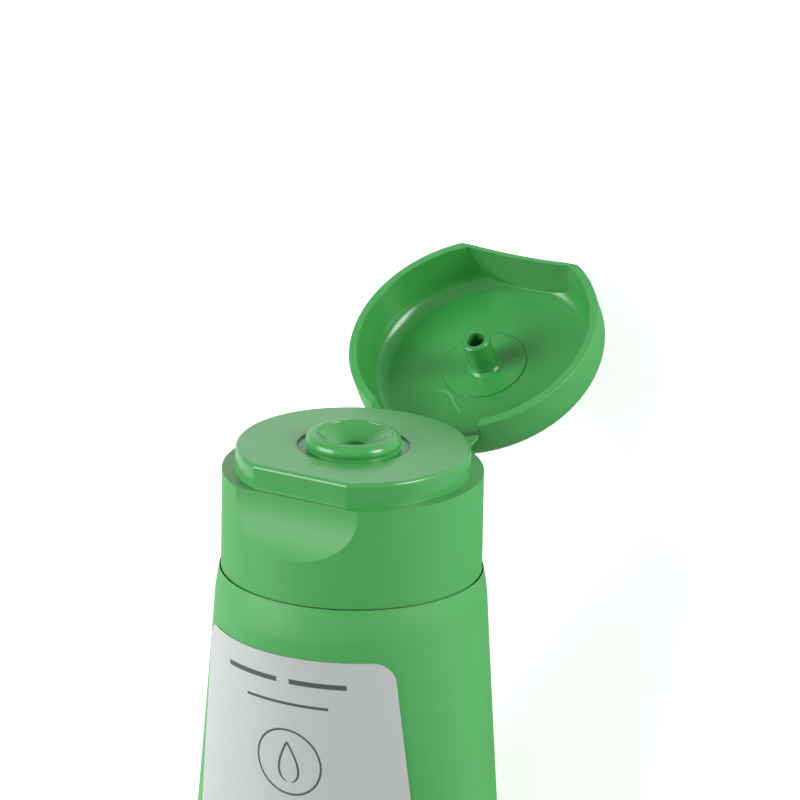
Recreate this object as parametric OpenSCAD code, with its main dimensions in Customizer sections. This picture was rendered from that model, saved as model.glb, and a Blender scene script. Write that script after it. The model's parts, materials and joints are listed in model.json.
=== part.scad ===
// Face cream tube with a flip-top cap, lying on its back with the lid open.
// Each piece is drawn in the tube's own frame and laid down at the end. In that frame z runs
// along the tube from the bottom edge of the cap (z = 0) towards the lid, and the front faces -y.

/* [Sleeve] */
// Outer diameter of the sleeve at its round end
tube_d = 35; // [28:0.5:40]
// Length of the sleeve from its round end to the seal
tube_len = 84.2; // [60:0.2:120]
// Thickness of the sleeve's wall
sleeve_wall = 0.45; // [0.3:0.05:0.7]
// Length of the flat seal at the end of the sleeve
seal_len = 7; // [4:0.5:10]
// Height of the ridges pressed into each face of the seal
seal_ridge = 0.12; // [0:0.02:0.2]
// Length over which the sleeve rounds in under the cap
round_len = 4.8; // [2.5:0.1:6]
// Distance by which the sleeve's end is smaller in radius than the sleeve
round_in = 0.6; // [0.3:0.05:1]

/* [Label] */
// Width of the label at its upper edge, along the sleeve
label_w = 31; // [20:0.2:34]
// Widening of the label on each side, for each millimetre down the sleeve
label_flare = 0.07; // [0:0.01:0.08]
// Distance of the label's middle from the front, round the sleeve
label_shift = -0.9; // [-1.5:0.1:1.5]
// Distance of the label's upper edge from the cap
label_top = 7; // [5:0.5:20]
// Distance of the label's lower edge from the seal
label_foot = 10; // [4:0.5:30]
// Corner radius of the label
label_corner = 2.8; // [1:0.2:6]
// Thickness of the label film
label_thick = 0.08; // [0.05:0.01:0.15]

/* [Head] */
// Outer diameter of the neck
neck_d = 18; // [16:0.5:19]
// Height of the neck's top above the cap's bottom edge
neck_top = 13.2; // [12:0.1:14]
// Wall of the neck
neck_wall = 1.2; // [0.8:0.1:1.6]
// Thickness of the shoulder
shoulder_thick = 1.1; // [0.8:0.1:1.5]
// Height of the neck's foot above the cap's bottom edge
neck_foot = 3; // [2:0.1:4]
// Diameter of the hole in the neck's top
orifice_d = 8.8; // [7:0.2:10]
// How far the snap bead stands out from the neck
snap_bead = 0.6; // [0.3:0.1:0.8]

/* [Cap body] */
// Distance by which the cap's skirt is smaller in radius than the sleeve
skirt_step = 0.8; // [0.7:0.05:1.5]
// Height of the skirt, up to the ledge that the lid closes on
skirt_h = 13; // [11:0.1:16]
// Thickness of the skirt's wall
skirt_wall = 1.2; // [0.8:0.1:1.6]
// Clear gap between the raised deck and the closed lid's rim
deck_gap = 0.5; // [0.4:0.05:1.5]
// Height of the deck above the ledge
deck_h = 3.15; // [2.5:0.05:3.5]
// Thickness of the deck
deck_thick = 1.2; // [0.8:0.1:1.6]
// Clear gap between the deck's front flat and the closed lid's chord wall
flat_gap = 0.25; // [0.15:0.05:0.8]
// Radius on the deck's upper edge
deck_edge = 0.5; // [0.2:0.05:0.8]
// Clear gap between the skirt and the sleeve's end
seam_gap = 0.15; // [0.1:0.05:0.5]
// Thickness of the ribs between the snap sleeve and the skirt
rib_thick = 0.8; // [0.6:0.1:1.2]
// Number of ribs inside the cap
rib_count = 8; // [4:1:12]

/* [Thumb scoop] */
// Radius of the scoop
scoop_r = 9.3; // [7:0.1:14]
// Depth of the scoop's lower end below the ledge
scoop_drop = 7.3; // [5:0.1:9]

/* [Nozzle] */
// Diameter of the nozzle's lip
crest_d = 10.1; // [8:0.1:10.6]
// Height of the lip above the deck
crest_h = 1.7; // [1.3:0.05:1.9]
// Diameter of the bead round the nozzle
boss_d = 12.3; // [11.8:0.1:13.6]
// Radius of the bead
bead_r = 1; // [0.7:0.05:1.1]
// Diameter of the shallow recess round the nozzle
recess_d = 14.4; // [13.8:0.1:16]
// Depth of the recess
recess_depth = 0.25; // [0.1:0.05:0.4]
// Clear gap round the closing pin in the outlet hole
outlet_gap = 0.1; // [0.05:0.05:0.4]

/* [Lid] */
// Height of the closed lid above its rim
lid_h = 7.4; // [7:0.05:8.5]
// Outer radius of the lid's upper edge
lid_round = 3.8; // [2:0.1:4.4]
// Width of the lid's rim
rim_w = 1.2; // [0.8:0.05:1.4]
// Rounding of the rim's edges
rim_edge = 0.15; // [0.05:0.05:0.3]
// Inward slope of the lid's wall, for each millimetre of its depth
wall_slope = 0.08; // [0:0.01:0.12]
// Thickness of the lid's top
lid_top = 0.9; // [0.7:0.05:1.3]
// Depth that the lid's front chord cuts off its round outline
chord_cut = 2.55; // [2.2:0.05:2.7]
// Thickness of the chord wall at the rim
chord_wall = 0.5; // [0.4:0.05:0.6]
// Rounding of the chord wall into the lid's top
chord_round = 2.5; // [1:0.1:3]
// Rise of the thumb arch in the chord wall's edge
arch_rise = 0.4; // [0.1:0.05:1]
// Diameter of the closing pin
pin_d = 3.7; // [3.2:0.1:3.7]
// Diameter of the hole down the pin
pin_bore = 2.4; // [1:0.1:2.4]
// Height of the pin's tip above the lid's rim
pin_tip = 1.45; // [1:0.05:2.2]
// Gap between the closed lid and the ledge
rim_gap = 0.1; // [0.05:0.05:0.2]

/* [Hinge] */
// Distance of the hinge line outside the skirt
hinge_out = 0; // [-0.4:0.05:0.4]
// Height of the hinge line above the ledge
hinge_up = 0.45; // [0.2:0.05:1]
// Angle to which the lid stands open
open_angle = 148.35; // [110:0.05:155]
// Width of the hinge
hinge_w = 15.6; // [10:0.2:18]
// Depth of the notch in the lid behind the hinge
lid_notch = 2.3; // [1.6:0.1:3]
// Depth of the notch in the skirt below the hinge
skirt_notch = 1.7; // [1.2:0.1:2.5]
// Thickness of the hinge film
film = 0.4; // [0.2:0.05:0.6]

/* [Contents] */
// Gap left round the cream
fill_gap = 0.3; // [0.1:0.05:0.5]

/* [Hidden] */
$fn = 96;
over = 1;
green = [0.36, 0.70, 0.39];
deep_green = [0.30, 0.64, 0.34];
silver = [0.80, 0.82, 0.81];
cream = [0.96, 0.94, 0.88];

// Radii used throughout
tube_r = tube_d / 2;
skirt_r = tube_r - skirt_step;
rim_in = skirt_r - rim_w;
deck_r = rim_in - deck_gap;
neck_r = neck_d / 2;
outlet_r = pin_d / 2 + outlet_gap;
chord = skirt_r - chord_cut;
deck_flat = chord - chord_wall - flat_gap;
hinge_y = skirt_r + hinge_out;
skirt_in = skirt_r - skirt_wall;
deck_in = deck_r - skirt_wall;
ledge_low = skirt_h - deck_thick;
deck_top = skirt_h + deck_h;
deck_low = deck_top - deck_thick;

// The sleeve's sections keep one girth from the round end down to the flat seal
girth = 2 * PI * tube_r;
half_flat = girth / 4;
section_steps = 96;
arc_steps = 96;
loft_rings = 14;
round_rings = 4;
inner_step = 2;

// Girth of an ellipse with half axes a and b, by Ramanujan's second rule
function ellipse_girth(a, b) =
    let (h = 3 * pow((a - b) / (a + b), 2)) PI * (a + b) * (1 + h / (10 + sqrt(4 - h)));
// Half thickness b that gives an ellipse of half width a the sleeve's girth, by halving a range
function half_thick(a, low, high, turns) =
    turns == 0 ? (low + high) / 2
    : ellipse_girth(a, (low + high) / 2) > girth
        ? half_thick(a, low, (low + high) / 2, turns - 1)
        : half_thick(a, (low + high) / 2, high, turns - 1);
// Share of the way from the round end to the seal at height z
function down(z) = min(1, max(0, (-round_len - z) / tube_len));
// Amount by which the sleeve's radius is smaller near the cap
function tuck(z) = round_in * pow(max(0, z + round_len) / (round_len - seam_gap), 1.6);
function half_w(z) = tube_r + (half_flat - tube_r) * down(z) - tuck(z);
function half_t(z) =
    z > -round_len ? tube_r - tuck(z) : max(sleeve_wall, half_thick(half_w(z), 0, tube_r, 24));
// Arc length along a quarter ellipse from the front, as pairs of length and angle
function quarter(a, b) = [
    for (i = 0, s = 0;
         i <= arc_steps;
         s = s + norm([a * (sin(90 * (i + 1) / arc_steps) - sin(90 * i / arc_steps)),
                       b * (cos(90 * (i + 1) / arc_steps) - cos(90 * i / arc_steps))]),
         i = i + 1)
        [s, 90 * i / arc_steps]
];
// Angle from the front at share u of the half girth, from -1 at the back to 1 at the back
function angle_at(table, u) =
    let (full = table[arc_steps][0], v = abs(u) * 2 * full)
    sign(u) * (v <= full ? lookup(v, table) : 180 - lookup(2 * full - v, table));
// Cosine for the section at height z, which flattens it from an ellipse to a band near the seal
flatten = 0.8;
function bulge(t, z) = sign(cos(t)) * pow(abs(cos(t)), 1 - flatten * pow(down(z), 8));
// Points at equal spacing round the section at height z, drawn in by an even distance
least_half = 0.02;
function section(z, inset, ridge = 0) =
    let (a = half_w(z), b = half_t(z), table = quarter(a, b))
    [for (i = [0 : section_steps - 1])
        let (t = angle_at(table, 2 * i / section_steps - 1), r = (i % 2) * ridge)
        [(a - inset) * sin(t), -(max(b - inset, least_half) + r) * bulge(t, z), z]];

// Heights of the rings, which crowd towards the seal where the sleeve flattens fastest
seal_z = -round_len - tube_len;
end_z = seal_z - seal_len;
loft_z = [for (i = [0 : loft_rings]) -round_len - tube_len * (1 - pow(1 - i / loft_rings, 1.6))];
round_z = [for (i = [0 : round_rings - 1]) -seam_gap - (round_len - seam_gap) * i / round_rings];
inner_z = concat(
    [seal_z + over],
    [for (i = [loft_rings - inner_step : -inner_step : 0]) loft_z[i]],
    [for (i = [round_rings - 1 : -1 : 0]) round_z[i]]
);

// Joins stacked rings of points with the same count into one closed skin
module skin(rings) {
    n = len(rings[0]);
    m = len(rings);
    points = [for (r = rings) each r];
    sides = [
        for (j = [0 : m - 2], i = [0 : n - 1])
            each [[j * n + i, j * n + (i + 1) % n, (j + 1) * n + (i + 1) % n],
                  [j * n + i, (j + 1) * n + (i + 1) % n, (j + 1) * n + i]]
    ];
    start_cap = [[for (i = [n - 1 : -1 : 0]) i]];
    end_cap = [[for (i = [0 : n - 1]) (m - 1) * n + i]];
    polyhedron(points, concat(sides, start_cap, end_cap));
}

// Same, for rings that go out along one face of a film and back along the other
module film_skin(rings) {
    n = len(rings[0]);
    m = len(rings);
    points = [for (r = rings) each r];
    function ends(base, turned) = [
        for (i = [0 : n / 2 - 2])
            let (quad = [base + i, base + i + 1, base + n - 2 - i, base + n - 1 - i])
            each turned
                ? [[quad[2], quad[1], quad[0]], [quad[3], quad[2], quad[0]]]
                : [[quad[0], quad[1], quad[2]], [quad[0], quad[2], quad[3]]]
    ];
    sides = [
        for (j = [0 : m - 2], i = [0 : n - 1])
            each [[j * n + i, j * n + (i + 1) % n, (j + 1) * n + (i + 1) % n],
                  [j * n + i, (j + 1) * n + (i + 1) % n, (j + 1) * n + i]]
    ];
    polyhedron(points, concat(sides, ends(0, true), ends((m - 1) * n, false)));
}

// The rings run up the inside of the wall from the seal, over its upper edge and down the outside
module tube_sleeve() {
    inside = [for (z = inner_z) section(z, sleeve_wall)];
    outside = [for (z = concat(round_z, loft_z)) section(z, 0)];
    seal = [section(seal_z - over, 0, seal_ridge), section(end_z, 0, seal_ridge)];
    color(green) skin(concat(inside, outside, seal));
}

// Point on the label at arc length u from the front and height z, held off the sleeve
function on_sleeve(u, z, off) =
    let (a = half_w(z), b = half_t(z), table = quarter(a, b), t = angle_at(table, u / (2 * table[arc_steps][0])))
    [(a + off) * sin(t), -(b + off) * bulge(t, z), z];
// Half width of the label at height z, with its round corners
label_low = seal_z + label_foot;
function label_half(z) =
    let (near = min(-label_top - z, z - label_low),
         full = label_w / 2 + label_flare * (-label_top - z))
    near >= label_corner ? full
    : full - label_corner + sqrt(pow(label_corner, 2) - pow(label_corner - near, 2));

module label() {
    columns = 24;
    corner_rows = 4;
    seat = 0.06;
    corner = [for (i = [0 : corner_rows]) label_corner * (1 - cos(90 * i / corner_rows))];
    rows = concat(
        [for (c = corner) -label_top - c],
        [for (z = loft_z) if (z < -label_top - label_corner && z > label_low + label_corner) z],
        [for (i = [corner_rows : -1 : 0]) label_low + corner[i]]
    );
    function across(i, z) = label_shift + label_half(z) * (2 * i / columns - 1);
    rings = [
        for (z = rows)
            concat(
                [for (i = [0 : columns]) on_sleeve(across(i, z), z, seat + label_thick)],
                [for (i = [columns : -1 : 0]) on_sleeve(across(i, z), z, seat)]
            )
    ];
    color(silver) film_skin(rings);
}

// Lower edge of the head's rim, inside the sleeve's round end
rim_low = round_z[round_rings - 1];

// Shoulder and neck, moulded onto the sleeve's end
module tube_head() {
    seat = 0.08;
    function wall_r(z) = half_w(z) - sleeve_wall - seat;
    rim_top = round_z[0];
    land = skirt_in - bite;
    neck_in = neck_r - neck_wall;
    bead_z = neck_foot + 4;
    bead_land = 0.4;
    neck_edge = 0.4;
    key_h = 1.6;
    key_out = 1.3;
    key_root = 0.6;
    color(green) {
        rotate_extrude()
            polygon([
                [orifice_d / 2, neck_top],
                [orifice_d / 2, neck_top - neck_wall],
                [neck_in, neck_top - neck_wall],
                [neck_in, neck_foot - shoulder_thick],
                [land, rim_top - shoulder_thick],
                [wall_r(rim_top) - shoulder_thick, rim_top - shoulder_thick],
                [wall_r(rim_low) - shoulder_thick, rim_low],
                for (i = [round_rings - 1 : -1 : 0]) [wall_r(round_z[i]), round_z[i]],
                [land, rim_top],
                [neck_r, neck_foot],
                [neck_r, bead_z],
                [neck_r + snap_bead, bead_z + snap_bead],
                [neck_r + snap_bead, bead_z + snap_bead + bead_land],
                [neck_r, bead_z + 3 * snap_bead + bead_land],
                [neck_r, neck_top - neck_edge],
                [neck_r - neck_edge, neck_top]
            ]);
        // Key that keeps the cap square to the front
        translate([-key_w / 2, neck_r - key_root, neck_foot - key_root])
            cube([key_w, key_root + key_out, key_h]);
    }
}

// Outline in the y-z plane that keeps everything behind a front flat with a rounded upper edge
module behind_flat(flat, top, r, low, back) {
    translate([-skirt_r - over, 0, 0])
        rotate([90, 0, 90])
            linear_extrude(height = 2 * (skirt_r + over))
                union() {
                    translate([-flat, low]) square([back + flat, top - r - low]);
                    translate([-flat + r, low]) square([back + flat - r, top - low]);
                    translate([-flat + r, top - r]) circle(r);
                }
}

scoop_z = skirt_h - scoop_drop + sqrt(pow(scoop_r, 2) - pow(chord + scoop_r - skirt_r, 2));
module scoop_cylinder(extra) {
    translate([-skirt_r, -chord - scoop_r, scoop_z]) rotate([0, 90, 0]) cylinder(r = scoop_r + extra, h = 2 * skirt_r);
}

// Outside of the skirt and the raised deck
module cap_outside() {
    cylinder(r = skirt_r, h = skirt_h);
    intersection() {
        rotate_extrude()
            union() {
                translate([0, skirt_h - over]) square([deck_r, deck_h + over - deck_edge]);
                translate([0, skirt_h]) square([deck_r - deck_edge, deck_h]);
                translate([deck_r - deck_edge, deck_top - deck_edge]) intersection() {
                    circle(deck_edge);
                    square(deck_edge);
                }
            }
        behind_flat(deck_flat, deck_top, deck_edge, 0, 2 * deck_r);
    }
}

// Hollow of the cap, open below, with a wall left behind the scoop and the deck's flat
module cap_hollow() {
    difference() {
        union() {
            translate([0, 0, -over]) cylinder(r = skirt_in, h = ledge_low + over);
            intersection() {
                translate([0, 0, -over]) cylinder(r = deck_in, h = deck_low + over);
                translate([-skirt_r, -deck_flat + skirt_wall, -over])
                    cube([2 * skirt_r, 2 * skirt_r, deck_low + 2 * over]);
            }
        }
        scoop_cylinder(skirt_wall);
    }
}

// Sleeve inside the cap that snaps over the neck, with a slot for the neck's key
snap_gap = 0.1;
snap_wall = 1;
snap_in = neck_r + snap_bead + snap_gap;
snap_out = snap_in + snap_wall;
key_w = 2;
key_gap = 0.2;
bite = 0.3;

module snap_sleeve() {
    low = neck_foot + key_gap;
    slot_w = key_w + 2 * key_gap;
    slot_h = 2;
    bead = 0.4;
    bead_z = neck_foot + 2.6;
    difference() {
        rotate_extrude()
            polygon([
                [snap_out, deck_low + bite],
                [snap_out, low],
                [snap_in, low],
                [snap_in, bead_z - bead],
                [snap_in - bead, bead_z],
                [snap_in - bead, bead_z + bead],
                [snap_in, bead_z + 2 * bead],
                [snap_in, deck_low + bite]
            ]);
        translate([-slot_w / 2, 0, low - over]) cube([slot_w, snap_out + over, slot_h + over]);
    }
}

// Ribs from the snap sleeve to the skirt, set between the key and the scoop
module cap_ribs() {
    low = 0.45 * skirt_h;
    for (k = [0 : rib_count - 1])
        rotate([0, 0, 90 + (k + 0.5) * 360 / rib_count])
            translate([snap_out - bite, -rib_thick / 2, low])
                cube([skirt_in - snap_out + 2 * bite, rib_thick, ledge_low - low + bite]);
}

// Half section of the nozzle: a thin lip round the funnel and a bead below it
module nozzle_section() {
    lip_r = 0.2;
    lip_z = deck_top + crest_h - lip_r;
    bead_at = boss_d / 2 - bead_r;
    bead_z = deck_top + 0.6;
    foot_in = 0.2;
    lip_in = crest_d / 2 - 2 * lip_r;
    funnel_z = deck_top - 0.2;
    difference() {
        union() {
            translate([0, deck_low]) square([boss_d / 2 - foot_in, bead_z - deck_low]);
            translate([0, deck_low]) square([crest_d / 2, lip_z - deck_low]);
            translate([bead_at, bead_z]) circle(bead_r);
            translate([crest_d / 2 - lip_r, lip_z]) circle(lip_r);
        }
        translate([0, deck_low - over]) square([outlet_r, deck_h + 2 * over]);
        polygon([[0, funnel_z], [outlet_r, funnel_z], [lip_in, lip_z], [0, lip_z]]);
    }
}

// Ring under the deck that plugs the neck's hole
module plug_ring() {
    wall = 0.8;
    low = neck_top - neck_wall;
    plug_r = orifice_d / 2 - snap_gap;
    difference() {
        translate([0, 0, low]) cylinder(r = plug_r, h = deck_low + bite - low);
        translate([0, 0, low - over]) cylinder(r = plug_r - wall, h = deck_low + bite - low + 2 * over);
    }
}

// Opening at the back, outside a given radius, for the living hinge
module hinge_window(low, high, inner) {
    difference() {
        translate([-hinge_w / 2, 0, low]) cube([hinge_w, skirt_r + over, high - low]);
        translate([0, 0, low - over]) cylinder(r = inner, h = high - low + 2 * over);
    }
}

module cap_body() {
    pocket = 0.55;
    color(deep_green)
    difference() {
        union() {
            difference() {
                cap_outside();
                cap_hollow();
                scoop_cylinder(0);
                translate([0, 0, deck_top - recess_depth]) cylinder(r = recess_d / 2, h = deck_h);
                translate([0, 0, deck_low - over]) cylinder(r = boss_d / 2 - bite, h = deck_h);
            }
            snap_sleeve();
            difference() {
                cap_ribs();
                scoop_cylinder(0);
            }
            plug_ring();
            rotate_extrude() nozzle_section();
        }
        hinge_window(skirt_h - skirt_notch, skirt_h + over, skirt_r - pocket);
    }
}

rim_z = skirt_h + rim_gap;
floor_z = rim_z + lid_h - lid_top;
disc_rise = 0.12;

// Outside of the closed lid, as a half section
module lid_outside_section() {
    wall_h = lid_h - lid_round;
    translate([0, rim_z]) square([skirt_r - lid_round, lid_h]);
    polygon([
        [0, rim_z],
        [skirt_r - rim_edge, rim_z],
        [skirt_r, rim_z + rim_edge],
        [skirt_r, rim_z + wall_h],
        [0, rim_z + wall_h]
    ]);
    intersection() {
        translate([skirt_r - lid_round, rim_z + wall_h]) circle(lid_round);
        translate([0, rim_z + wall_h]) square([skirt_r, lid_round]);
    }
}

// Hollow of the closed lid, as a half section: a sloping wall, a large round into the floor and a
// raised disc in the middle
bowl = 2.2;
disc_r = 5.6;
module lid_inside_section() {
    bowl_z = floor_z - bowl;
    wall_foot = rim_in - wall_slope * (bowl_z - rim_z);
    polygon([
        [0, rim_z - over],
        [rim_in, rim_z - over],
        [rim_in, rim_z],
        [wall_foot, bowl_z],
        [wall_foot - bowl, floor_z],
        [disc_r, floor_z],
        [disc_r, floor_z - disc_rise],
        [0, floor_z - disc_rise]
    ]);
    translate([wall_foot - bowl, bowl_z]) intersection() {
        circle(bowl);
        square(bowl);
    }
}

module closing_pin() {
    fillet = 0.35;
    tip_round = 0.15;
    root = 0.3;
    tip_z = rim_z + pin_tip;
    foot_z = floor_z - disc_rise;
    difference() {
        rotate_extrude()
            polygon([
                [0, tip_z],
                [pin_d / 2 - tip_round, tip_z],
                [pin_d / 2, tip_z + tip_round],
                [pin_d / 2, foot_z - fillet],
                [pin_d / 2 + fillet, foot_z],
                [pin_d / 2 + fillet, foot_z + root],
                [0, foot_z + root]
            ]);
        translate([0, 0, tip_z - over]) cylinder(d = pin_bore, h = foot_z - tip_z - root + over);
    }
}

module closed_lid() {
    arch_half = 7;
    arch_r = (pow(arch_half, 2) + pow(arch_rise, 2)) / (2 * arch_rise);
    inner_round = 0.3;
    difference() {
        union() {
            difference() {
                intersection() {
                    rotate_extrude() lid_outside_section();
                    behind_flat(chord, rim_z + lid_h, chord_round, 0, 2 * skirt_r);
                }
                intersection() {
                    rotate_extrude() lid_inside_section();
                    behind_flat(chord - chord_wall, floor_z, inner_round, 0, 2 * skirt_r);
                }
            }
            closing_pin();
        }
        // Thumb arch in the chord wall's edge
        intersection() {
            translate([0, -chord - over, rim_z + arch_rise - arch_r])
                rotate([-90, 0, 0]) cylinder(r = arch_r, h = chord_wall + 2 * over, $fn = 180);
            translate([-arch_half, -chord - over, rim_z - over])
                cube([2 * arch_half, chord_wall + 1.5 * over, arch_rise + over]);
        }
        hinge_window(rim_z - over, rim_z + lid_notch, rim_in - over);
    }
}

// Swings a piece in the tube's frame about the hinge line
module swing(angle) {
    translate([0, hinge_y, skirt_h + hinge_up])
        rotate([-angle, 0, 0])
            translate([0, -hinge_y, -skirt_h - hinge_up])
                children();
}

module lid() {
    color(deep_green) swing(open_angle) closed_lid();
}

// Point of the closed lid at (x, y, z), swung open
function opened(q) =
    let (y = q[1] - hinge_y, z = q[2] - skirt_h - hinge_up)
    [q[0],
     hinge_y + y * cos(open_angle) + z * sin(open_angle),
     skirt_h + hinge_up - y * sin(open_angle) + z * cos(open_angle)];

// Bow-tie film between the two notches: folded sharply at its middle and taut at its ends
module living_hinge() {
    columns = 12;
    rows = 6;
    seat = film / 2 + 0.05;
    half = hinge_w / 2 - 0.2;
    function edge_y(x) = sqrt(pow(skirt_r - film / 2, 2) - pow(x, 2));
    function from_cap(x) = [x, edge_y(x), skirt_h - skirt_notch + seat];
    function from_lid(x) = opened([x, edge_y(x), rim_z + lid_notch - seat]);
    function crest(x) =
        let (c = from_cap(x), l = from_lid(x), share = pow(abs(x) / half, 1.5),
             middle = (c + l) / 2, fold = [x, hinge_y, skirt_h + hinge_up])
        2 * (fold + (middle - fold) * share) - middle;
    function arc(x, t) =
        pow(1 - t, 2) * from_cap(x) + 2 * t * (1 - t) * crest(x) + pow(t, 2) * from_lid(x);
    function slope(x, t) =
        let (d = arc(x, min(1, t + 0.05)) - arc(x, max(0, t - 0.05))) d / norm(d);
    function side(x, t, s) = arc(x, t) + s * film / 2 * [0, -slope(x, t)[2], slope(x, t)[1]];
    rings = [
        for (j = [0 : columns])
            let (x = half * (2 * j / columns - 1))
            concat(
                [for (i = [0 : rows]) side(x, i / rows, 1)],
                [for (i = [rows : -1 : 0]) side(x, i / rows, -1)]
            )
    ];
    color(deep_green) film_skin(rings);
}

// The cream, as it fills the sleeve below the shoulder
module cream_fill() {
    levels = concat([rim_low - fill_gap], [for (i = [0 : inner_step : loft_rings - inner_step]) loft_z[i]]);
    color(cream)
        skin([for (z = levels) section(z, sleeve_wall + fill_gap)]);
}

// The tube lies on its back: the seal's lower edge and the open lid's chord edge touch the floor
seal_low = sleeve_wall + seal_ridge;
chord_centre = opened([0, -chord + chord_round, rim_z + lid_h - chord_round]);
seal_to_chord = [chord_centre[1] - seal_low, chord_centre[2] - end_z];
tilt = atan2(seal_to_chord[0], seal_to_chord[1]) + asin(chord_round / norm(seal_to_chord));
rim_corner = opened([0, -chord, rim_z]);
reach_low = end_z * cos(tilt) - seal_low * sin(tilt);
reach_high = rim_corner[1] * sin(tilt) + rim_corner[2] * cos(tilt);
lift = seal_low * cos(tilt) - end_z * sin(tilt);

module laid_down() {
    translate([0, -(reach_low + reach_high) / 2, lift])
        rotate([tilt - 90, 0, 0])
            children();
}

laid_down() tube_sleeve();
laid_down() label();
laid_down() tube_head();
laid_down() cap_body();
laid_down() living_hinge();
laid_down() lid();
laid_down() cream_fill();
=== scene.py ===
"""A face cream tube with a flip-top cap, lying on its back with the lid open.

Lengths named here are in millimetres, in the tube's own frame: z runs along the tube from the
bottom edge of the cap towards the lid, the front faces -y and x points to the right of the front.
laid_down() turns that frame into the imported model's.
"""
import json
import math

import bmesh
import bpy
import numpy as np
from mathutils import Matrix, Vector


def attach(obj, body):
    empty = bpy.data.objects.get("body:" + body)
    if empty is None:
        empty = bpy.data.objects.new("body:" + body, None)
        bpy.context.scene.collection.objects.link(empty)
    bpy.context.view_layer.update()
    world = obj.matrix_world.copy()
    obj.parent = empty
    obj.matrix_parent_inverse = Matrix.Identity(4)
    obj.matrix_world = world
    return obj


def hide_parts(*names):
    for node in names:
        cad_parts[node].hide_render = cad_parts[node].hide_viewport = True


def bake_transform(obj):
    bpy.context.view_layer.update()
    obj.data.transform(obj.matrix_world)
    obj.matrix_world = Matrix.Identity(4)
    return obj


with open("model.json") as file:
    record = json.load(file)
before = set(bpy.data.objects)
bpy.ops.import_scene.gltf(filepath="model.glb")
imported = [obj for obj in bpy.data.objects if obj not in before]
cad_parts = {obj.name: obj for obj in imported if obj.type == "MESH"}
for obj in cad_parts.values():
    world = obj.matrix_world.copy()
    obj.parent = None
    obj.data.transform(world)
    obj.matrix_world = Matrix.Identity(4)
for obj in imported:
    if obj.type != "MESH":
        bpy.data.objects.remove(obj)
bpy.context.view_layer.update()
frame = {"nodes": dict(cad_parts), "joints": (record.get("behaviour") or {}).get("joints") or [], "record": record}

MM = 0.001
# Distance in metres under which two corners of a mesh are one, and the angle that stays a sharp edge
DOUBLES = 1e-7
SHARP_ANGLE = math.radians(40)

# Sleeve
TUBE_R = 17.5
SLEEVE_WALL = 0.45
ROUND_LEN = 4.8
ROUND_IN = 0.6
TUBE_LEN = 84.2
SEAL_LEN = 7.0
SEAL_RIDGE = 0.12
RIDGE_PITCH = 1.1
RIDGE_MARGIN = 0.6
RIDGE_FADE = 0.5
FLATTEN = 0.8
FLATTEN_POWER = 8
ROUND_POWER = 1.6
SEAM_GAP = 0.15
SEAL_Z = -ROUND_LEN - TUBE_LEN

# Label
LABEL_W = 31.0
LABEL_FLARE = 0.07
LABEL_SHIFT = -0.9
LABEL_TOP = 7.0
LABEL_LEN = 72.0
LABEL_CORNER = 2.8
LABEL_THICK = 0.08
LABEL_SEAT = 0.06

# Cap and lid
SKIRT_R = 16.7
SKIRT_H = 13.0
DECK_H = 3.15
DECK_TOP = SKIRT_H + DECK_H
CHORD = 14.15
RIM_GAP = 0.1
RIM_Z = SKIRT_H + RIM_GAP
RIM_W = 1.2
WALL_SLOPE = 0.08
LID_H = 7.4
LID_TOP = 0.9
FLOOR_Z = RIM_Z + LID_H - LID_TOP

# Hinge
HINGE_Y = 16.7
HINGE_Z = SKIRT_H + 0.45
OPEN_ANGLE = math.radians(148.35)
HINGE_W = 15.6
LID_NOTCH = 2.3
SKIRT_NOTCH = 1.7
FILM = 0.4
HINGE_SIDE_GAP = 0.2
HINGE_SEAT_GAP = 0.05
BOW_POWER = 1.5

# The camera, as it stands to an upright tube
CAMERA_AZ = math.radians(29.48)
CAMERA_EL = math.radians(19.08)
CAMERA_ROLL = math.radians(1.0)
CAMERA_DIST = 1047.1
CAMERA_LENS = 369.7
AIM_Z = 7.29
AIM_RIGHT = 6.07
AIM_UP = 14.05

# How far the tube leans from upright onto its back comes from the lid's flat top in the record
lid_face = next(m for m in frame["record"]["mounts"] if m["name"] == "standing_face")
hinge_joint = next(j for j in frame["joints"] if j["name"] == "lid_hinge")
LEAN = OPEN_ANGLE - math.acos(lid_face["axis"][1])
ALONG = np.array([0.0, math.cos(LEAN), math.sin(LEAN)])
BACK = np.array([0.0, math.sin(LEAN), -math.cos(LEAN)])
HINGE = np.array(hinge_joint["pos_m"])


def turned(v):
    """A direction in the tube's frame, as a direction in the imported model's."""
    v = np.asarray(v, float)
    return v[..., 0:1] * np.array([1.0, 0.0, 0.0]) + v[..., 1:2] * BACK + v[..., 2:3] * ALONG


def laid_down(p):
    """Points in the tube's frame in millimetres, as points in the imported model's in metres."""
    return HINGE + MM * turned(np.asarray(p, float) - np.array([0.0, HINGE_Y, HINGE_Z]))


def opened(p):
    """Points of the closed lid, swung open about the hinge line."""
    p = np.asarray(p, float)
    y, z = p[..., 1] - HINGE_Y, p[..., 2] - HINGE_Z
    c, s = math.cos(OPEN_ANGLE), math.sin(OPEN_ANGLE)
    return np.stack([p[..., 0], HINGE_Y + y * c + z * s, HINGE_Z - y * s + z * c], -1)


# Meshes

def grid_quads(rows, columns, around=False):
    """Quads of a grid of rows by columns points, closed round its columns if asked."""
    r = np.arange(rows - 1)[:, None]
    c = np.arange(columns if around else columns - 1)[None, :]
    n = (c + 1) % columns
    a, b = r * columns + c, r * columns + n
    return np.stack([a, b, b + columns, a + columns], -1).reshape(-1, 4)


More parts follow.
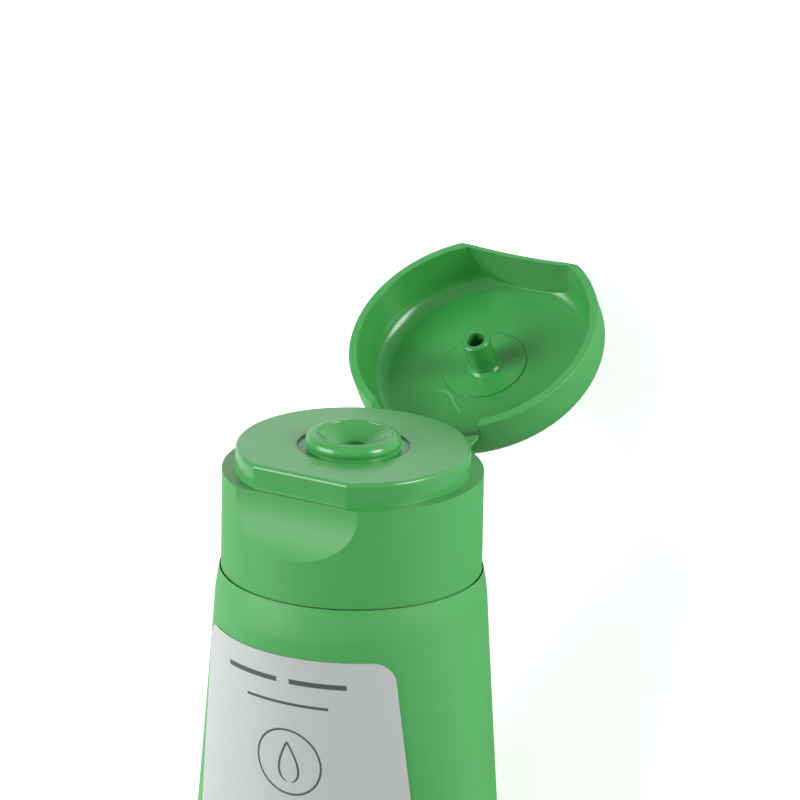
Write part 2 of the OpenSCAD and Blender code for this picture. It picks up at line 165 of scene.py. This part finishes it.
def make_piece(name, points, quads):
    """A mesh object from points in metres and quads, with its doubles merged."""
    mesh = bpy.data.meshes.new(name)
    mesh.from_pydata(points.reshape(-1, 3).tolist(), [], quads.tolist())
    piece = bpy.data.objects.new(name, mesh)
    bpy.context.scene.collection.objects.link(piece)
    shape = bmesh.new()
    shape.from_mesh(mesh)
    bmesh.ops.remove_doubles(shape, verts=shape.verts, dist=DOUBLES)
    bmesh.ops.dissolve_degenerate(shape, edges=shape.edges, dist=DOUBLES)
    bmesh.ops.recalc_face_normals(shape, faces=shape.faces)
    shape.to_mesh(mesh)
    shape.free()
    mesh.polygons.foreach_set("use_smooth", np.ones(len(mesh.polygons), bool))
    mesh.set_sharp_from_angle(angle=SHARP_ANGLE)
    return piece


def closed_film(name, outer, inner):
    """A thin closed piece between two grids of the same shape, with quads along its four edges."""
    rows, columns = outer.shape[:2]
    quads = grid_quads(rows, columns)
    back = quads[:, ::-1] + rows * columns
    top = np.arange(columns)
    side = np.arange(rows) * columns
    loops = [top, side + columns - 1, top[::-1] + (rows - 1) * columns, side[::-1]]
    rim = np.concatenate(loops)
    after = np.concatenate([np.append(l[1:], l[-1]) for l in loops])
    walls = np.stack([after, rim, rim + rows * columns, after + rows * columns], -1)[rim != after]
    return make_piece(name, np.concatenate([outer.reshape(-1, 3), inner.reshape(-1, 3)]),
                      np.concatenate([quads, back, walls]))


def write_map(piece, name, u, v):
    """A UV map from one pair of numbers for each vertex, in the vertices' order."""
    mesh = piece.data
    uv = mesh.uv_layers.new(name=name)
    corner = np.zeros(len(mesh.loops), int)
    mesh.loops.foreach_get("vertex_index", corner)
    uv.data.foreach_set("uv", np.stack([u[corner], v[corner]], -1).astype(np.float32).ravel())


# The sleeve's form

def ellipse_girth(a, b):
    """Girth of an ellipse with half axes a and b, by Ramanujan's second rule."""
    h = 3 * ((a - b) / (a + b)) ** 2
    return math.pi * (a + b) * (1 + h / (10 + np.sqrt(4 - h)))


def half_sizes(z):
    """Half width and half thickness of the sleeve at heights z. The width grows in a straight line
    from the round end to half the girth at the seal, and the thickness keeps the girth the same."""
    down = np.clip((-ROUND_LEN - z) / TUBE_LEN, 0, 1)
    tuck = ROUND_IN * np.clip((z + ROUND_LEN) / (ROUND_LEN - SEAM_GAP), 0, 1) ** ROUND_POWER
    girth = 2 * math.pi * TUBE_R
    a = TUBE_R + (girth / 4 - TUBE_R) * down
    low, high = np.zeros_like(a), np.full_like(a, TUBE_R)
    for _ in range(40):
        middle = (low + high) / 2
        over = ellipse_girth(a, middle) > girth
        low, high = np.where(over, low, middle), np.where(over, middle, high)
    b = np.where(down > 0, np.maximum(SLEEVE_WALL, (low + high) / 2), TUBE_R)
    return a - tuck, b - tuck


def bulge(t, z):
    """Cosine of t, raised to a lower power near the seal, which turns the ellipse into a flat band."""
    down = np.clip((-ROUND_LEN - z) / TUBE_LEN, 0, 1)
    return np.sign(np.cos(t)) * np.abs(np.cos(t)) ** (1 - FLATTEN * down ** FLATTEN_POWER)


def even_angles(a, b, arc, steps=400):
    """Angles from the front at arc lengths arc round the ellipse with half axes a and b."""
    t = np.linspace(-math.pi, math.pi, 4 * steps + 1)
    walked = np.concatenate([[0], np.cumsum(np.hypot(np.diff(a * np.sin(t)), np.diff(b * np.cos(t))))])
    return np.interp(arc + walked[-1] / 2, walked, t)


def sleeve_rings(z, inset, columns):
    """Rings of the sleeve at heights z: each is the ellipse of that height, drawn in by inset."""
    a, b = half_sizes(z)
    share = np.arange(columns) / columns - 0.5
    t = np.stack([even_angles(p, q, share * ellipse_girth(p, q)) for p, q in zip(a, b)])
    height = np.broadcast_to(z[:, None], t.shape)
    thick = np.maximum(b - inset, 0.02)[:, None]
    return np.stack([(a - inset)[:, None] * np.sin(t), -thick * bulge(t, height), height], -1)


def make_sleeve():
    """Outer skin from the round end to the end of the seal, closed there onto its middle line, and
    an inner skin from the seal back up, joined over a rounded edge. The seal carries a row of
    ridges: a wave across the width that fades out at both ends of the seal."""
    columns = 440
    crowd = 1 - (1 - np.linspace(0, 1, 70)) ** 1.6
    z_round = np.linspace(-SEAM_GAP / 2, -ROUND_LEN, 14)
    z_loft = -ROUND_LEN - TUBE_LEN * crowd[1:]
    z_seal = SEAL_Z - SEAL_LEN * np.linspace(0, 1, 22)[1:]
    outside = sleeve_rings(np.concatenate([z_round, z_loft, z_seal]), 0, columns)
    depth = SEAL_Z - outside[..., 2]
    near = np.minimum(depth, SEAL_LEN - depth)
    fade = np.clip((near - RIDGE_MARGIN) / RIDGE_FADE, 0, 1)
    wave = 0.5 + 0.5 * np.cos(2 * math.pi * outside[..., 0] / RIDGE_PITCH)
    outside[..., 1] += np.sign(outside[..., 1]) * SEAL_RIDGE * wave * fade
    closing = outside[-1:].copy()
    closing[..., 1] = 0
    z_inner = np.concatenate([[SEAL_Z + 1], z_loft[-9::-6], [-ROUND_LEN], z_round[-4::-3]])
    inside = sleeve_rings(z_inner, SLEEVE_WALL, columns)
    pocket = inside[:1].copy()
    pocket[..., 1] = 0
    points = np.concatenate([pocket, inside, outside, closing])
    quads = grid_quads(len(points), columns, around=True)
    return make_piece("sleeve_skin", laid_down(points), quads)


# The label

# Width and height in millimetres of the square that the label's map covers
PRINT_SPAN = 80.0
PRINT_MID = 0.5


def label_half(z):
    """Half width of the label at heights z: a straight flare with round corners at both ends."""
    near = np.minimum(-LABEL_TOP - z, z + LABEL_TOP + LABEL_LEN)
    full = LABEL_W / 2 + LABEL_FLARE * (-LABEL_TOP - z)
    c = LABEL_CORNER
    return full - np.where(near < c, c - np.sqrt(np.maximum(c * c - (c - near) ** 2, 0)), 0)


def on_sleeve(arc, z, off):
    """Points at arc length from the front and height z, one row for each height, held off the sleeve."""
    a, b = half_sizes(z)
    t = np.stack([even_angles(p, q, row) for p, q, row in zip(a, b, arc)])
    height = np.broadcast_to(z[:, None], t.shape)
    return np.stack([(a[:, None] + off) * np.sin(t), -(b[:, None] + off) * bulge(t, height), height], -1)


def make_label():
    """A film over the front of the sleeve: rows across it, with the rows crowded at the corners. Its
    map runs along the film's arc from the front's middle and down from its upper edge."""
    columns, turn = 121, np.linspace(0, math.pi / 2, 12)
    corner = LABEL_CORNER * (1 - np.cos(turn))
    body = np.linspace(LABEL_CORNER, LABEL_LEN - LABEL_CORNER, 140)[1:-1]
    z = -LABEL_TOP - np.concatenate([corner, body, LABEL_LEN - corner[::-1]])
    arc = LABEL_SHIFT + label_half(z)[:, None] * np.linspace(-1, 1, columns)
    outer = on_sleeve(arc, z, LABEL_SEAT + LABEL_THICK)
    inner = on_sleeve(arc, z, LABEL_SEAT)
    piece = closed_film("label_film", laid_down(outer), laid_down(inner))
    place = np.zeros(len(piece.data.vertices) * 3)
    piece.data.vertices.foreach_get("co", place)
    away = (place.reshape(-1, 3) - HINGE) / MM
    height = away @ ALONG + HINGE_Z
    side = away[:, 0]
    a, b = half_sizes(height)
    t = np.linspace(0, 1, 60)[None, :] * np.arcsin(np.clip(np.abs(side) / (a + LABEL_SEAT), 0, 1))[:, None]
    arc_len = np.hypot(np.diff(a[:, None] * np.sin(t)), np.diff(b[:, None] * np.cos(t))).sum(1)
    write_map(piece, "print", PRINT_MID + np.sign(side) * arc_len / PRINT_SPAN,
              1 + (height + LABEL_TOP) / PRINT_SPAN)
    return piece


# The living hinge

def make_hinge():
    """Bow-tie film between the notches of cap and lid. Across it each row is a curve of second
    degree from the cap's notch to the lid's, pulled to the hinge line at the middle of the width
    and nearly straight at the ends."""
    half = HINGE_W / 2 - HINGE_SIDE_GAP
    x = np.linspace(-half, half, 61)[:, None]
    t = np.linspace(0, 1, 25)[None, :, None]
    edge_y = np.sqrt((SKIRT_R - FILM / 2) ** 2 - x ** 2)
    seat = FILM / 2 + HINGE_SEAT_GAP
    start = np.stack([x, edge_y, np.full_like(x, SKIRT_H - SKIRT_NOTCH + seat)], -1)
    end = opened(np.stack([x, edge_y, np.full_like(x, RIM_Z + LID_NOTCH - seat)], -1))
    middle = (start + end) / 2
    fold = np.stack([x, np.full_like(x, HINGE_Y), np.full_like(x, HINGE_Z)], -1)
    crest = 2 * (fold + (middle - fold) * (np.abs(x) / half)[..., None] ** BOW_POWER) - middle
    line = (1 - t) ** 2 * start + 2 * t * (1 - t) * crest + t ** 2 * end
    slope = 2 * (1 - t) * (crest - start) + 2 * t * (end - crest)
    slope /= np.linalg.norm(slope, axis=-1, keepdims=True)
    across = np.stack([np.zeros_like(slope[..., 0]), -slope[..., 2], slope[..., 1]], -1)
    return closed_film("hinge_film", laid_down(line + across * FILM / 2), laid_down(line - across * FILM / 2))


# Shader maths

class Value:
    """A socket of a material's nodes, or a number. Operators on it add Math nodes."""

    def __init__(self, paint, socket):
        self.paint = paint
        self.socket = socket

    def maths(self, operation, *others):
        return self.paint.add("Math", {"operation": operation}, self, *others)

    def __add__(self, other):
        return self.maths("ADD", other)

    def __radd__(self, other):
        return self.maths("ADD", other)

    def __sub__(self, other):
        return self.maths("SUBTRACT", other)

    def __rsub__(self, other):
        return self.paint.add("Math", {"operation": "SUBTRACT"}, other, self)

    def __mul__(self, other):
        return self.maths("MULTIPLY", other)

    def __rmul__(self, other):
        return self.maths("MULTIPLY", other)

    def __truediv__(self, other):
        return self.maths("DIVIDE", other)

    def __neg__(self):
        return self.maths("MULTIPLY", -1.0)

    def __abs__(self):
        return self.maths("ABSOLUTE")

    def __pow__(self, other):
        return self.maths("POWER", other)

    def __and__(self, other):
        return self.maths("MINIMUM", other)

    def __or__(self, other):
        return self.maths("MAXIMUM", other)


class Paint:
    """One material and its nodes."""

    def __init__(self, name, **constants):
        self.material = bpy.data.materials.new(name)
        self.material.use_nodes = True
        self.tree = self.material.node_tree
        self.shader = self.tree.nodes["Principled BSDF"]
        for socket, value in constants.items():
            self.shader.inputs[socket.replace("_", " ")].default_value = value

    def add(self, kind, settings=None, *values, out=0, **named):
        """Any node: its settings are set first, then its sockets by place and by name."""
        node = self.tree.nodes.new("ShaderNode" + kind)
        for key, value in (settings or {}).items():
            setattr(node, key, value)
        places = [(i, v) for i, v in enumerate(values)]
        places += [(k.replace("_", " "), v) for k, v in named.items()]
        for place, value in places:
            if isinstance(value, Value):
                self.tree.links.new(value.socket, node.inputs[place])
            elif value is not None:
                node.inputs[place].default_value = value
        return Value(self, node.outputs[out])

    def feed(self, socket, value):
        self.tree.links.new(value.socket, self.shader.inputs[socket])

    def step(self, value, low, high):
        """Smooth step from 0 at low to 1 at high."""
        return self.add("MapRange", {"interpolation_type": "SMOOTHSTEP"}, value, low, high, 0.0, 1.0)

    def mix(self, share, a, b):
        """Colour a where share is 0 and b where it is 1."""
        node = self.tree.nodes.new("ShaderNodeMix")
        node.data_type = "RGBA"
        for place, value in ((0, share), (6, a), (7, b)):
            if isinstance(value, Value):
                self.tree.links.new(value.socket, node.inputs[place])
            else:
                node.inputs[place].default_value = value if place == 0 else (*value, 1)
        return Value(self, node.outputs[2])

    def noise(self, place, size, detail=2.0, roughness=0.5):
        """Noise from 0 to 1 with lumps of about that size in millimetres."""
        return self.add("TexNoise", None, place, Scale=1 / size, Detail=detail, Roughness=roughness)

    def bump(self, height, reach, normal=None):
        """A normal from a height of 0 to 1 that stands for reach millimetres."""
        node = self.tree.nodes.new("ShaderNodeBump")
        node.inputs["Strength"].default_value = 1.0
        node.inputs["Distance"].default_value = reach * MM
        self.tree.links.new(height.socket, node.inputs["Height"])
        if normal is not None:
            self.tree.links.new(normal.socket, node.inputs["Normal"])
        return Value(self, node.outputs[0])

    def tube_place(self):
        """Object coordinates as millimetres in the tube's own frame, as a vector and its x, y, z."""
        where = self.add("TexCoord", None, out=3)
        away = self.add("VectorMath", {"operation": "SUBTRACT"}, where, tuple(HINGE))
        scaled = self.add("VectorMath", {"operation": "SCALE"}, away, Scale=1 / MM)
        x = self.add("SeparateXYZ", None, scaled)
        y = self.add("VectorMath", {"operation": "DOT_PRODUCT"}, scaled, tuple(BACK), out=1) + HINGE_Y
        z = self.add("VectorMath", {"operation": "DOT_PRODUCT"}, scaled, tuple(ALONG), out=1) + HINGE_Z
        return self.add("CombineXYZ", None, x, y, z), x, y, z

    def lid_place(self):
        """The same for the lid as it is when closed."""
        place, x, y, z = self.tube_place()
        c, s = math.cos(OPEN_ANGLE), math.sin(OPEN_ANGLE)
        y, z = y - HINGE_Y, z - HINGE_Z
        y, z = y * c - z * s + HINGE_Y, y * s + z * c + HINGE_Z
        return self.add("CombineXYZ", None, x, y, z), x, y, z


# How rough the matt and the smooth parts of the mouldings are, and how much it varies
MATT = 0.52
SMOOTH = 0.21
UNEVEN = 0.04
EDGE_ROUND = 0.14
GRAIN_SIZE = 0.22
GRAIN_DEPTH = 0.012
MOTTLE_SIZE = 4.0
PLASTIC_IOR = 1.5


def radius(x, y):
    """Distance from a line along z."""
    return (x * x + y * y) ** 0.5


GREEN = (0.056, 0.325, 0.078)
SLEEVE_GREEN = (0.064, 0.345, 0.086)
# The lid's hollow in two tones, chosen so that its floor and its walls look as bright as the real ones do under
# these lamps: the paler floor is painted light and the darker walls are painted shade. The real moulding is one
# green
FLOOR_GREEN_PAINTED_LIGHT = (0.052, 0.370, 0.078)
WALL_GREEN_PAINTED_SHADE = (0.040, 0.275, 0.056)


# A mould insert's ring on the deck, and a faint crease on the lid's floor behind the pin
MARK_X = -0.33
MARK_Y = -9.34
MARK_R = 0.55
MARK_DEPTH = 0.08
CREASE_DEPTH = 0.03
CREASE = ((-4.3, 5.5), (-3.4, 5.35), (-2.5, 5.7), (-1.7, 6.4), (-0.9, 7.3), (-0.2, 7.8), (0.4, 8.5))


def rounded_edges(paint):
    """A normal that rounds the edges of a moulding, for the thin light that they catch."""
    return paint.add("Bevel", {"samples": 6}, Radius=EDGE_ROUND * MM)


def moulded_grain(paint, place, smooth, edges):
    """Fine spark-eroded grain of a mould, which leaves the smooth areas plain."""
    grain = paint.noise(place, GRAIN_SIZE, 3.0, 0.6) * (1 - smooth) + 0.5 * smooth
    return paint.bump(grain, GRAIN_DEPTH, edges)


def mottled(paint, place):
    """A faint mottle from 0 to 1, and the cap's green a little darker and lighter with it."""
    mottle = paint.noise(place, MOTTLE_SIZE)
    return mottle, paint.mix(mottle, tuple(0.97 * c for c in GREEN), tuple(1.03 * c for c in GREEN))


def cap_paint():
    """Matt skirt with a fine grain, and a smooth deck, nozzle and ledge."""
    paint = Paint("moulded_cap", IOR=PLASTIC_IOR)
    place, x, y, z = paint.tube_place()
    smooth = paint.step(z, SKIRT_H - 0.02, SKIRT_H + 0.02)
    mottle, tone = mottled(paint, place)
    paint.feed("Base Color", tone)
    paint.feed("Roughness", MATT - (MATT - SMOOTH) * smooth + UNEVEN * mottle)
    mark = 1 - paint.step(abs(radius(x - MARK_X, y - MARK_Y) - MARK_R), 0.04, 0.12)
    top = paint.step(z, DECK_TOP - 0.1, DECK_TOP - 0.05)
    marked = paint.bump(mark * top, MARK_DEPTH, rounded_edges(paint))
    paint.feed("Normal", moulded_grain(paint, place, smooth, marked))
    return paint.material


def near_line(x, y, start, end):
    """Distance from the straight line between two points."""
    dx, dy = end[0] - start[0], end[1] - start[1]
    share = ((x - start[0]) * dx + (y - start[1]) * dy) * (1 / (dx * dx + dy * dy))
    share = (share & 1.0) | 0.0
    return radius(x - start[0] - share * dx, y - start[1] - share * dy)


def lid_paint():
    """Matt outside and rim, and a smooth hollow with the pin."""
    paint = Paint("moulded_lid", IOR=PLASTIC_IOR)
    place, x, y, z = paint.lid_place()
    wall = SKIRT_R - RIM_W - WALL_SLOPE * (z - RIM_Z)
    within = 1 - paint.step(radius(x, y) - wall, 0.12, 0.22)
    below = 1 - paint.step(z, FLOOR_Z + 0.15, FLOOR_Z + 0.2)
    behind = paint.step(y, 0.45 - CHORD, 0.5 - CHORD)
    smooth = within * below * behind
    mottle, tone = mottled(paint, place)
    # Painted light and shade: the hollow's floor gets a paler green and its walls a darker green than the lid's
    # one real green
    painted_light_share = paint.step(z, FLOOR_Z - 2.2, FLOOR_Z - 0.3) * (1 - paint.step(radius(x, y), 12.4, 14.2))
    tone = paint.mix(smooth, tone, paint.mix(painted_light_share, WALL_GREEN_PAINTED_SHADE, FLOOR_GREEN_PAINTED_LIGHT))
    reach = None
    for start, end in zip(CREASE[:-1], CREASE[1:]):
        away = near_line(x, y, start, end)
        reach = away if reach is None else reach & away
    crease = (1 - paint.step(reach, 0.04, 0.16)) * smooth
    paint.feed("Base Color", paint.mix(0.35 * crease, tone, (0.35, 0.75, 0.40)))
    paint.feed("Roughness", MATT - (MATT - SMOOTH) * smooth + UNEVEN * mottle)
    creased = paint.bump(crease, CREASE_DEPTH, rounded_edges(paint))
    paint.feed("Normal", moulded_grain(paint, place, smooth, creased))
    return paint.material


def hinge_paint():
    """Thin flexed film, a little paler where it is stretched along the hinge line."""
    paint = Paint("moulded_hinge", Roughness=0.35, IOR=PLASTIC_IOR)
    y, z = paint.tube_place()[2:]
    fold = 1 - paint.step(radius(y - HINGE_Y, z - HINGE_Z), 0.2, 1.2)
    paint.feed("Base Color", paint.mix(0.3 * fold, GREEN, (0.3, 0.6, 0.3)))
    return paint.material


def sleeve_paint():
    """Soft matt film with the faintest waviness and a slight cloudiness."""
    paint = Paint("soft_sleeve", IOR=PLASTIC_IOR)
    place = paint.tube_place()[0]
    cloud = paint.noise(place, 9.0)
    tone = paint.mix(cloud, tuple(0.96 * c for c in SLEEVE_GREEN), tuple(1.04 * c for c in SLEEVE_GREEN))
    paint.feed("Base Color", tone)
    fine = paint.noise(place, 0.3, 3.0, 0.6)
    paint.feed("Roughness", 0.5 + 0.08 * paint.noise(place, 2.0))
    broad = paint.bump(cloud, 0.02)
    paint.feed("Normal", paint.bump(fine, 0.01, broad))
    return paint.material


SILVER_DARK = (0.49, 0.515, 0.505)
SILVER_LIGHT = (0.54, 0.565, 0.555)
INK = (0.075, 0.08, 0.08)
# Print on the label: rules by their left and right ends, depth below the upper edge and thickness,
# then the drop and the ring round it
RULES = ((-9.5, -1.0, 3.4, 0.7), (0.8, 8.5, 3.4, 0.7), (-6.0, 6.0, 6.6, 0.4))
PRINT_EDGE = 0.05
DROP_DEPTH = 15.0
DROP_HALF_LEN = 2.9
DROP_HALF_W = 1.9
RING_R = 4.6
RING_LINE = (0.1, 0.2)
DROP_LINE = (0.12, 0.22)


def label_paint():
    """Satin silver-grey film with a plain printed motif: three short rules and a drop in a ring."""
    paint = Paint("silver_label", Metallic=0.15, IOR=PLASTIC_IOR)
    spot = paint.add("UVMap", {"uv_map": "print"})
    u = (paint.add("SeparateXYZ", None, spot, out=0) - PRINT_MID) * PRINT_SPAN
    v = (1 - paint.add("SeparateXYZ", None, spot, out=1)) * PRINT_SPAN
    ink = None
    for left, right, depth, thick in RULES:
        inside = (paint.step(u, left - PRINT_EDGE, left + PRINT_EDGE)
                  * paint.step(-u, -right - PRINT_EDGE, PRINT_EDGE - right)
                  * (1 - paint.step(abs(v - depth), thick / 2 - PRINT_EDGE, thick / 2 + PRINT_EDGE)))
        ink = inside if ink is None else ink | inside
    along = (v - DROP_DEPTH) / DROP_HALF_LEN
    span = (1 - (along * along & 1.0)) ** 0.5
    width = DROP_HALF_W * span * (0.5 + 0.5 * along | 0.0) ** 0.6
    drop = 1 - paint.step(abs(abs(u) - width), *DROP_LINE)
    drop = drop * (1 - paint.step(abs(along), 0.98, 1.0))
    ring = 1 - paint.step(abs(radius(u, v - DROP_DEPTH) - RING_R), *RING_LINE)
    ink = ink | drop | ring
    fleck = paint.noise(spot, 0.006, 2.0)
    silver = paint.mix(fleck, SILVER_DARK, SILVER_LIGHT)
    paint.feed("Base Color", paint.mix(ink, silver, INK))
    paint.feed("Roughness", 0.48 + 0.1 * fleck)
    return paint.material


def cream_paint():
    """Soft white cream."""
    paint = Paint("white_cream", Roughness=0.35, IOR=1.4)
    place = paint.tube_place()[0]
    paint.feed("Base Color", paint.mix(paint.noise(place, 3.0), (0.86, 0.83, 0.74), (0.92, 0.90, 0.84)))
    return paint.material


def wear(piece, material):
    """Puts one material on every face of a piece."""
    piece.data.materials.clear()
    piece.data.materials.append(material)


# Stage, light and camera

# The floor's own glow, for the camera, and the share of it that gloss shows
FLOOR_GLOW = 0.7
FLOOR_MIRRORED = 0.1
FLOOR_REACH = 4.0
FLOOR_COLOUR = (0.82, 0.82, 0.82, 1)


def make_floor():
    """Plain pale floor. The camera also sees a glow in it that lifts it to white, and gloss sees a
    share of that glow."""
    mesh = bpy.data.meshes.new("floor")
    far = FLOOR_REACH
    mesh.from_pydata([(-far, -far, 0), (far, -far, 0), (far, far, 0), (-far, far, 0)], [], [(0, 1, 2, 3)])
    floor = bpy.data.objects.new("floor", mesh)
    bpy.context.scene.collection.objects.link(floor)
    paint = Paint("pale_floor", Base_Color=FLOOR_COLOUR, Roughness=0.9)
    ray = paint.tree.nodes.new("ShaderNodeLightPath")
    seen = [Value(paint, ray.outputs[n]) for n in ("Is Camera Ray", "Is Glossy Ray", "Is Transmission Ray")]
    lit = seen[0] | seen[1] * FLOOR_MIRRORED | seen[2]
    glow = paint.add("Emission", None, (1, 1, 1, 1), lit * FLOOR_GLOW)
    total = paint.add("AddShader", None, Value(paint, paint.shader.outputs[0]), glow)
    paint.tree.links.new(total.socket, paint.tree.nodes["Material Output"].inputs["Surface"])
    wear(floor, paint.material)


# Strength of the light from all round, and how far its reflection goes from that towards white
SURROUNDINGS = 0.15
MIRRORED_WHITE = 0.5


def make_world(strength):
    """White surroundings: even light of the given strength, seen as white, and as a pale grey in
    reflections."""
    world = bpy.data.worlds.new("studio")
    world.use_nodes = True
    bpy.context.scene.world = world
    tree = world.node_tree
    ray = tree.nodes.new("ShaderNodeLightPath")
    mirrored = tree.nodes.new("ShaderNodeMath")
    mirrored.operation = "MULTIPLY"
    mirrored.inputs[1].default_value = MIRRORED_WHITE
    tree.links.new(ray.outputs["Is Glossy Ray"], mirrored.inputs[0])
    seen = tree.nodes.new("ShaderNodeMath")
    seen.operation = "MAXIMUM"
    tree.links.new(ray.outputs["Is Camera Ray"], seen.inputs[0])
    tree.links.new(mirrored.outputs[0], seen.inputs[1])
    share = tree.nodes.new("ShaderNodeMix")
    share.inputs["A"].default_value = strength
    share.inputs["B"].default_value = 1.0
    tree.links.new(seen.outputs[0], share.inputs["Factor"])
    tree.nodes["Background"].inputs["Color"].default_value = (1, 1, 1, 1)
    tree.links.new(share.outputs[0], tree.nodes["Background"].inputs["Strength"])


def studio_direction(az, el):
    """Direction from an upright tube at az degrees to the right of its front and el degrees up."""
    az, el = math.radians(az), math.radians(el)
    return np.array([math.sin(az) * math.cos(el), -math.cos(az) * math.cos(el), math.sin(el)])


def make_lamp(name, az, el, away, size, watts):
    """A square soft box that faces the cap from a direction given for the upright tube."""
    lamp = bpy.data.objects.new(name, bpy.data.lights.new(name, "AREA"))
    lamp.data.size = size
    lamp.data.energy = watts
    target = laid_down([0, 0, SKIRT_H])
    towards = turned(studio_direction(az, el))
    lamp.location = target + towards * away
    lamp.rotation_euler = Vector(towards).to_track_quat("Z", "Y").to_euler()
    bpy.context.scene.collection.objects.link(lamp)


def make_camera():
    """The camera, placed for an upright tube and laid down with it."""
    back = np.array([math.sin(CAMERA_AZ) * math.cos(CAMERA_EL), -math.cos(CAMERA_AZ) * math.cos(CAMERA_EL),
                     math.sin(CAMERA_EL)])
    level = np.array([math.cos(CAMERA_AZ), math.sin(CAMERA_AZ), 0.0])
    up = np.cross(back, level)
    c, s = math.cos(CAMERA_ROLL), math.sin(CAMERA_ROLL)
    right, up = c * level + s * up, c * up - s * level
    aim = np.array([0, 0, AIM_Z]) + right * AIM_RIGHT + up * AIM_UP
    camera = bpy.data.objects.new("camera", bpy.data.cameras.new("camera"))
    camera.data.lens = CAMERA_LENS
    camera.data.clip_start = 0.05
    axes = np.stack([turned(right), turned(up), turned(back)], 1)
    camera.matrix_world = Matrix.LocRotScale(Vector(laid_down(aim + back * CAMERA_DIST)),
                                             Matrix(axes.tolist()), None)
    bpy.context.scene.collection.objects.link(camera)
    bpy.context.scene.camera = camera


bpy.context.scene.view_settings.view_transform = "Standard"
make_camera()
make_world(SURROUNDINGS)
make_floor()
make_lamp("left_box", -40, 12, 0.7, 0.5, 6.3)
make_lamp("right_box", 95, 23, 0.7, 0.4, 6.6)

sleeve = make_sleeve()
wear(sleeve, sleeve_paint())
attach(sleeve, "tube")
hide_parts("tube_sleeve")

label = make_label()
wear(label, label_paint())
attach(label, "tube")
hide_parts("label")

hinge = make_hinge()
wear(hinge, hinge_paint())
tuple(laid_down([0, SKIRT_R, SKIRT_H - SKIRT_NOTCH]))
tuple(laid_down(opened([0, SKIRT_R, RIM_Z + LID_NOTCH])))
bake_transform(hinge)
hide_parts("living_hinge")

wear(frame["nodes"]["cap_body"], cap_paint())
wear(frame["nodes"]["lid"], lid_paint())
wear(frame["nodes"]["tube_head"], sleeve_paint())
wear(frame["nodes"]["cream_fill"], cream_paint())
